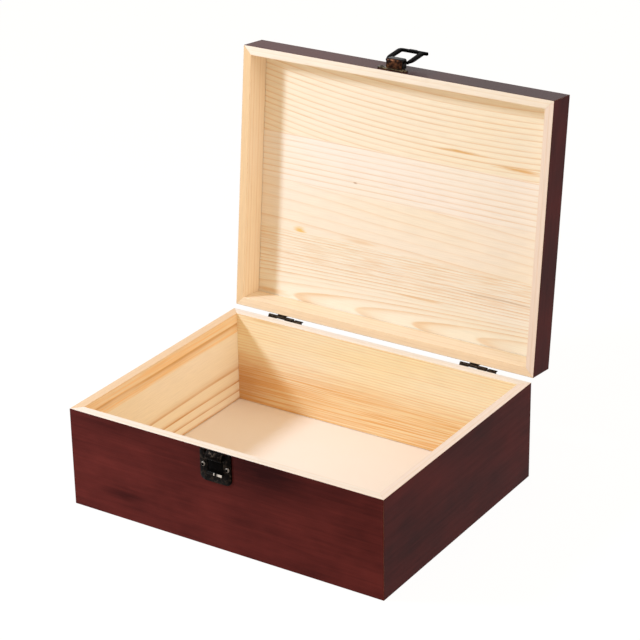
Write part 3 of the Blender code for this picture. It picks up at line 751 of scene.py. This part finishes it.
def foldSheet(path, left, right, bend, thickness):
    # a strip folded along a path of (out, up) places, from left to right
    work = bmesh.new()
    points = [work.verts.new(inMetres((left, y, z))) for y, z in path]
    folds = [work.edges.new(pair) for pair in zip(points, points[1:])]
    moveNew(work, bmesh.ops.extrude_edge_only(work, edges=folds), (right - left, 0, 0))
    softenEdges(work, [edge for edge in work.edges if len(edge.link_faces) == 2], bend, 4)
    faceOut(work)
    bmesh.ops.solidify(work, geom=work.faces[:], thickness=thickness * mm)
    faceOut(work)
    return work


def joinInto(work, other):
    spare = meshFrom(other, "spare")
    work.from_mesh(spare)
    bpy.data.meshes.remove(spare)


def turnRod(centre, radius, length, easing, steps=28):
    # a pin or an eye that lies across the box
    work = bmesh.new()
    place = Matrix.Translation(Vector(centre) * mm) @ Matrix.Rotation(math.pi / 2, 4, "Y")
    bmesh.ops.create_cone(work, cap_ends=True, segments=steps, radius1=radius * mm, radius2=radius * mm,
                          depth=length * mm, matrix=place)
    easeSharp(work, easing)
    return work


# Pan-head screws with a cross recess: a pale head, partly painted highlight, shows as a bright ring round a
# middle painted black as shade in the recess
screwShape = {
    "profile": [(0.0, 0.8), (0.25, 0.8), (0.95, 0.85), (1.2, 1.2), (1.55, 1.05), (1.85, 0.7), (2.05, 0.2),
                (2.08, 0.0), (1.0, 0.0), (1.0, -4.4), (0.0, -6.0)],
    "steps": 32,
    "dark": 1.1,            # radius of the middle painted black: painted shade in the recess
    "crown": 0.7,           # what lies higher than this can take that painted shade
    "hub": 0.25, "arm": 0.8, "spread": 17,  # the cross: its middle, its reach, half its width in degrees
    "recess": 0.6, "taper": 0.7,
    "stand": 0.05,          # the head's foot stands this far off the sheet
}


def driveScrew(name, body, across, height, seat, wood, turn, finish=screwWearAndHighlight, rise=1.0):
    shape = screwShape
    work = bmesh.new()
    points = [work.verts.new(inMetres((radius, 0, top))) for radius, top in shape["profile"]]
    chain = [work.edges.new(pair) for pair in zip(points, points[1:])]
    bmesh.ops.spin(work, geom=points + chain, cent=(0, 0, 0), axis=(0, 0, 1), angle=math.tau,
                   steps=shape["steps"], use_merge=True)
    bmesh.ops.remove_doubles(work, verts=work.verts, dist=1e-7)
    arms = []
    for face in work.faces:
        middle = face.calc_center_median()
        off = middle.xy.length
        fromArm = abs((math.degrees(math.atan2(middle.y, middle.x)) + 45) % 90 - 45)
        # the middle of the head takes the black finish: painted shade in and round the cross recess
        if middle.z > shape["crown"] * mm and off < shape["dark"] * mm:
            face.material_index = 1
            if off < shape["hub"] * mm or fromArm < shape["spread"] and off < shape["arm"] * mm:
                arms.append(face)
    floor = moveNew(work, bmesh.ops.extrude_face_region(work, geom=arms), (0, 0, -shape["recess"]))
    bmesh.ops.delete(work, geom=[face for face in arms if face.is_valid], context="FACES")
    bmesh.ops.scale(work, vec=(shape["taper"], shape["taper"], 1.0), verts=floor)
    bmesh.ops.scale(work, vec=(1, 1, rise), verts=[vert for vert in work.verts if vert.co.z > 0])
    place = Matrix.Translation(Vector((across, wood * (seat + shape["stand"]), height)) * mm) \
        @ Matrix.Rotation(-wood * math.pi / 2, 4, "X") @ Matrix.Rotation(math.radians(turn), 4, "Z")
    bmesh.ops.transform(work, matrix=place, verts=work.verts)
    addPiece(name + "_turned", work, body, [finish, blackSteelAndShade], [name], 40)


# Catch on the front of the base
catchSizes = {
    "middle": -3.8,
    "top": 84.95, "foot": 58.3, "half": 14.4, "out": 0.05, "sheet": 1.15,
    "topCorner": 1.2, "footCorner": 7.8, "easing": 0.25,
    "notch": (1.3, 2.2), "notchOver": 1,
    "noseHalf": 7.6, "noseReach": 4.6, "noseFoot": 78.6, "noseSlope": 2.6, "noseHollow": 2.4,
    "noseRound": 0.55,
    "windowHalf": 7.3, "windowTop": 77.6, "windowFoot": 66.6, "windowPlay": 0.3,
    "bayHalf": 7.0, "bay": 0.3, "tongue": 0.7, "tongueEasing": 0.15,
    "lipHalf": 7.1, "lipReach": 2.7, "lipBend": 0.2, "lipRise": 0.9, "lipLean": 0.1, "lipFoot": 1.4,
    "lipFold": 0.5, "lipShine": 0.4,
    "screwHalf": 11.1, "screwHeight": 72.2, "screwTurn": 35,
}


def addCatch(sizes):
    middle, half, sheet, out = sizes["middle"], sizes["half"], sizes["sheet"], sizes["out"]
    top, foot = sizes["top"], sizes["foot"]
    left, right = middle - half, middle + half
    gap, deep = sizes["notch"]
    noseHalf = sizes["noseHalf"]
    notchAt = noseHalf + gap / 2 + sheet / 2
    opening = sizes["windowHalf"]
    holes = [(middle - opening, sizes["windowFoot"], middle + opening, sizes["windowTop"])]
    holes += [(middle + way * notchAt - gap / 2, top - deep, middle + way * notchAt + gap / 2,
               top + sizes["notchOver"]) for way in (-1, 1)]
    plate = pressSheet((left, foot, right, top), holes, out, sheet, -1)
    roundCorners(plate, [(left, foot, sizes["footCorner"]), (right, foot, sizes["footCorner"]),
                         (left, top, sizes["topCorner"]), (right, top, sizes["topCorner"])])
    easeRim(plate, -(halfDepth + out + sheet), sizes["easing"])

    # the nose that the loop's bar snaps under: pressed out of the plate, hollow from below
    root, tip, slope = -(halfDepth + out + sheet / 2), -(halfDepth + sizes["noseReach"]), sizes["noseSlope"]
    brow, under = top - sheet / 2, sizes["noseFoot"]
    nose = extrudeOutline([(middle - noseHalf, y, z) for y, z in (
        (root, brow), (root, under), (tip, under), (tip, under + slope), (tip + slope, brow))],
        (2 * noseHalf, 0, 0))
    hollowOut(nose, [face for face in nose.faces if face.normal.z < -0.9], sheet, (0, 0, sizes["noseHollow"]))
    faceOut(nose)
    outer = [edge for edge in nose.edges if edge.calc_face_angle(0) > 0.5
             and min(vert.co.y for vert in edge.verts) < (tip + 0.1) * mm]
    softenEdges(nose, outer, sizes["noseRound"], 3)
    joinInto(plate, nose)
    addPiece("catch_plate_pressed", plate, "base", [agedBronze], ["catch_plate"], 35)

    # the spring tongue behind the window, its end curled out over the plate
    low, high = sizes["windowFoot"] + sizes["windowPlay"], sizes["windowTop"] - sizes["windowPlay"]
    wood, crest = -halfDepth - out, -(halfDepth + sizes["lipReach"])
    bend = low + sizes["lipBend"]
    path = [(wood, high), (wood, bend + sizes["lipRise"]), (crest, bend),
            (crest - sizes["lipLean"], low - sizes["lipFoot"])]
    tongue = foldSheet(path, middle - sizes["lipHalf"], middle + sizes["lipHalf"], sizes["lipFold"],
                       -sizes["tongue"])
    easeSharp(tongue, sizes["tongueEasing"])
    # a thin sheet fills the window behind the tongue: painted shade
    joinInto(tongue, pressSheet((middle - sizes["bayHalf"], low, middle + sizes["bayHalf"], high), [], out,
                                sizes["bay"], -1))
    # the lip below the bend takes the painted highlight; the tongue above it and the sheet take the black,
    # painted shade in the window
    for face in tongue.faces:
        face.material_index = 0 if face.calc_center_median().z < (bend + sizes["lipShine"]) * mm else 1
    addPiece("catch_tongue_spring", tongue, "base", [springSteelHighlight, blackSteelAndShade],
             ["catch_tongue"], 35)
    for side, way in (("left", -1), ("right", 1)):
        driveScrew("catch_screw_" + side, "base", middle + way * sizes["screwHalf"], sizes["screwHeight"],
                   halfDepth + out + sheet, -1, sizes["screwTurn"] * way)


addCatch(catchSizes)
print("catch is on")

# Clasp mount on the front of the lid
mountSizes = {
    "middle": -3.8, "foot": 89.44, "height": 6.0, "half": 13.5, "corner": 2.1, "out": 0.05, "sheet": 1.15,
    "easing": 0.25, "housingHalf": 7.5, "housingReach": 8.6, "housingFoot": 92.84, "housingTop": 101.24,
    "housingRound": 1.7, "screwHalf": 10.2, "screwTurn": 20, "screwRise": 0.4,
}


def addMount(sizes):
    middle, half, sheet, out = sizes["middle"], sizes["half"], sizes["sheet"], sizes["out"]
    foot, top = sizes["foot"], sizes["foot"] + sizes["height"]
    left, right = middle - half, middle + half
    mount = pressSheet((left, foot, right, top), [], out, sheet, -1)
    roundCorners(mount, [(x, z, sizes["corner"]) for x in (left, right) for z in (foot, top)])
    easeRim(mount, -(halfDepth + out + sheet), sizes["easing"])

    # the housing is folded from the same sheet and open where the loop turns
    root, face = -(halfDepth + out + sheet / 2), -(halfDepth + sizes["housingReach"])
    low, high = sizes["housingFoot"], sizes["housingTop"]
    left, right = middle - sizes["housingHalf"], middle + sizes["housingHalf"]
    housing = extrudeOutline([(left, root, low), (left, face, low), (right, face, low), (right, root, low)],
                             (0, 0, high - low))
    hollowOut(housing, [side for side in housing.faces if side.normal.z > 0.9], sheet,
              (0, 0, -(high - low - sheet)))
    shell = edgesAt(housing, (None, face, None)) + edgesAt(housing, (None, None, low))
    spared = edgesAt(housing, (None, None, high)) + edgesAt(housing, (None, root, None))
    softenEdges(housing, [edge for edge in housing.edges if edge in shell and edge not in spared],
                sizes["housingRound"], 4)
    faceOut(housing)
    for side in housing.faces:
        side.material_index = 1 if side.normal.z < -0.35 else 0
    for side in mount.faces:
        side.material_index = 2
    joinInto(mount, housing)
    addPiece("clasp_mount_folded", mount, "lid", [agedBronze, wornBronze, earSheenBronze],
             ["clasp_mount"], 35)
    # the screws on the ears take the ears' painted sheen too
    for side, way in (("left", -1), ("right", 1)):
        driveScrew("clasp_screw_" + side, "lid", middle + way * sizes["screwHalf"],
                   foot + sizes["height"] / 2, halfDepth + out + sheet, -1, sizes["screwTurn"] * way,
                   earSheenBronze, sizes["screwRise"])


addMount(mountSizes)

# The loop: flat arms cut away outside towards the pin, a bar that overruns the right arm, and a thumb tab
loopSizes = {
    "half": 12.4, "arm": 4.2, "neck": 2.3, "taper": 4.6, "thickness": 2.4, "reach": 21.31, "bar": 2.7,
    "overrun": 3.0, "rise": 0.5, "thinning": 0.7, "round": 0.55,
    "corner": 3.6, "shoulder": 2.2, "innerLeft": 0.8, "innerRight": 0.6, "tip": 1.0, "tipRoot": 0.5,
    "eye": 1.25, "eyePlay": 0.1, "eyeEasing": 0.3, "pin": 0.8, "pinPlay": 0.3, "pinEasing": 0.15,
    "tabHalf": 3.75, "tabLength": 2.4, "tabCurl": 0.7, "tabThinner": 0.1, "tabRound": 0.5,
}


def addLoop(sizes):
    centre = claspAxis / mm
    aside, out, up = centre
    half, arm, neck, thick = sizes["half"], sizes["arm"], sizes["neck"], sizes["thickness"]
    inner, foot, rise, taper = half - arm, -sizes["reach"], sizes["rise"], -sizes["taper"]
    low, tip = foot - sizes["bar"], half + sizes["overrun"]
    outline = [(-half, taper), (-half, low), (tip, low), (tip, foot), (half, foot), (half, taper),
               (inner + neck, rise), (inner, rise), (inner, foot), (-inner, foot), (-inner, rise),
               (-inner - neck, rise)]
    loop = extrudeOutline([(aside + x, out - thick / 2, up + z) for x, z in outline], (0, thick, 0))
    bmesh.ops.scale(loop, vec=(1, sizes["thinning"], 1), space=Matrix.Translation(-centre * mm),
                    verts=[vert for vert in loop.verts if vert.co.z > up * mm])
    rounds = [(-half, low, "corner"), (-half, taper, "shoulder"), (half, taper, "shoulder"),
              (-inner, foot, "innerLeft"), (inner, foot, "innerRight"), (tip, low, "tip"), (tip, foot, "tip"),
              (half, foot, "tipRoot")]
    roundCorners(loop, [(aside + x, up + z, sizes[radius]) for x, z, radius in rounds])
    easeSharp(loop, sizes["round"], 3, 1.2)
    for way in (-1, 1):
        joinInto(loop, turnRod((aside + way * (inner + neck / 2), out, up), sizes["eye"],
                               neck - sizes["eyePlay"], sizes["eyeEasing"]))
    lip, curl = thick / 2 - sizes["tabThinner"], sizes["tabCurl"]
    root, end = foot - sizes["bar"] / 2, low - sizes["tabLength"]
    tab = extrudeOutline([(aside - sizes["tabHalf"], out + y, up + z) for y, z in (
        (lip, root), (-lip, root), (-lip - curl, end), (lip - curl, end))], (2 * sizes["tabHalf"], 0, 0))
    easeSharp(tab, sizes["tabRound"], 3)
    joinInto(loop, tab)
    addPiece("clasp_loop_bent", loop, "clasp", [blackSteelAndShade], ["clasp_loop"], 35)
    pin = turnRod(centre, sizes["pin"], 2 * (inner + neck) - sizes["pinPlay"], sizes["pinEasing"])
    addPiece("clasp_pin_turned", pin, "clasp", [agedBronze], ["clasp_pin"], 35)


addLoop(loopSizes)
print("clasp is on")

# Two stop hinges on the back: rolled knuckles, a pin, and a shelf that stops the lid
hingeSizes = {
    "axis": (116.3, 85.62), "width": 34.0, "height": 14.5, "thickness": 1.25, "corner": 2.0, "out": 0.05,
    "easing": 0.2, "barrel": 25.0, "knuckle": 1.4, "gap": 0.3, "play": 0.1, "roll": 0.6, "rollTurn": 320,
    "relief": 1.7, "neck": 4.4, "pin": 0.6, "proud": 0.3, "pinEasing": 0.2,
    "shelfFrom": 25.9, "shelfReach": 1.5, "shelfTop": 85.88, "shelfRoot": 1.2, "shelfFold": 0.5, "shelf": 0.5,
    "screwHalf": 10.5, "screwDrop": 9.2, "baseScrewTurn": 35, "lidScrewTurn": -15,
    "left": -145.0 + 35.1, "right": 145.0 - 32.7 - 34.0,
}


def rollKnuckle(sizes, left, right, way):
    # sheet rolled round the pin; way is -1 for the base's leaf, which rolls over the top
    y, z = sizes["axis"]
    hub = Vector(inMetres((left, y, z)))
    work = bmesh.new()
    foot, start = [work.verts.new(inMetres((left, y - sizes["knuckle"], z + way * drop)))
                   for drop in (sizes["relief"], 0)]
    work.edges.new((foot, start))
    bmesh.ops.spin(work, geom=[start], cent=hub, axis=(1, 0, 0), angle=math.radians(sizes["rollTurn"]) * way,
                   steps=20, use_duplicate=False)
    moveNew(work, bmesh.ops.extrude_edge_only(work, edges=work.edges[:]), (right - left, 0, 0))
    faceOut(work)
    outward = sum((face.normal.dot(face.calc_center_median() - hub) for face in work.faces), 0.0)
    bmesh.ops.solidify(work, geom=work.faces[:], thickness=math.copysign(sizes["roll"] * mm, outward))
    faceOut(work)
    return work


def addLeaf(sizes, name, body, left, way):
    y, z = sizes["axis"]
    pitch, gap, play = sizes["barrel"] / 3, sizes["gap"] / 2, sizes["play"]
    spans = [(0, pitch - gap), (pitch + gap, 2 * pitch - gap), (2 * pitch + gap, sizes["barrel"])]
    if way < 0:
        own, cut = spans[::2], z - sizes["relief"]
        gaps = [(own[0][1], own[1][0]), (own[1][1], sizes["shelfFrom"])]
    else:
        own, cut = spans[1:2], z + sizes["neck"]
        gaps = [(-play, own[0][0]), (own[0][1], sizes["width"] + play)]
    right = left + sizes["width"]
    near, far = z + way * sizes["gap"], z + way * sizes["height"]
    beyond = near - way * play
    holes = [(left + start, min(cut, beyond), left + end, max(cut, beyond)) for start, end in gaps]
    leaf = pressSheet((left, far, right, near), holes, sizes["out"], sizes["thickness"], 1)
    roundCorners(leaf, [(left, far, sizes["corner"]), (right, far, sizes["corner"])])
    easeRim(leaf, halfDepth + sizes["out"] + sizes["thickness"], sizes["easing"])
    for start, end in own:
        joinInto(leaf, rollKnuckle(sizes, left + start, left + end, way))
    if way < 0:
        level = sizes["shelfTop"]
        inside = halfDepth + sizes["out"] + sizes["thickness"] / 2
        path = [(inside, z - sizes["shelfRoot"]), (inside, level), (y + sizes["shelfReach"], level)]
        joinInto(leaf, foldSheet(path, left + sizes["shelfFrom"], right - play, sizes["shelfFold"],
                                 sizes["shelf"]))
    addPiece(name + "_pressed", leaf, body, [hingeBronze], [name], 35)


def addHinge(sizes, side):
    left = sizes[side]
    y, z = sizes["axis"]
    addLeaf(sizes, "hinge_base_leaf_" + side, "base", left, -1)
    addLeaf(sizes, "hinge_lid_leaf_" + side, "lid", left, 1)
    pin = turnRod((left + sizes["barrel"] / 2, y, z), sizes["pin"], sizes["barrel"] + 2 * sizes["proud"],
                  sizes["pinEasing"], 20)
    pinName = "hinge_pin_" + side
    addPiece(pinName + "_turned", pin, "base", [agedBronze], [pinName], 35)
    seat = halfDepth + sizes["out"] + sizes["thickness"]
    for end, way in (("outer", -1), ("inner", 1)):
        across = left + sizes["width"] / 2 + way * sizes["screwHalf"]
        for body, rise in (("base", -1), ("lid", 1)):
            driveScrew("{}_leaf_screw_{}_{}".format(body, side, end), body, across,
                       z + rise * sizes["screwDrop"], seat, 1, sizes[body + "ScrewTurn"] * way)


addHinge(hingeSizes, "left")
addHinge(hingeSizes, "right")
print("hinges are on")
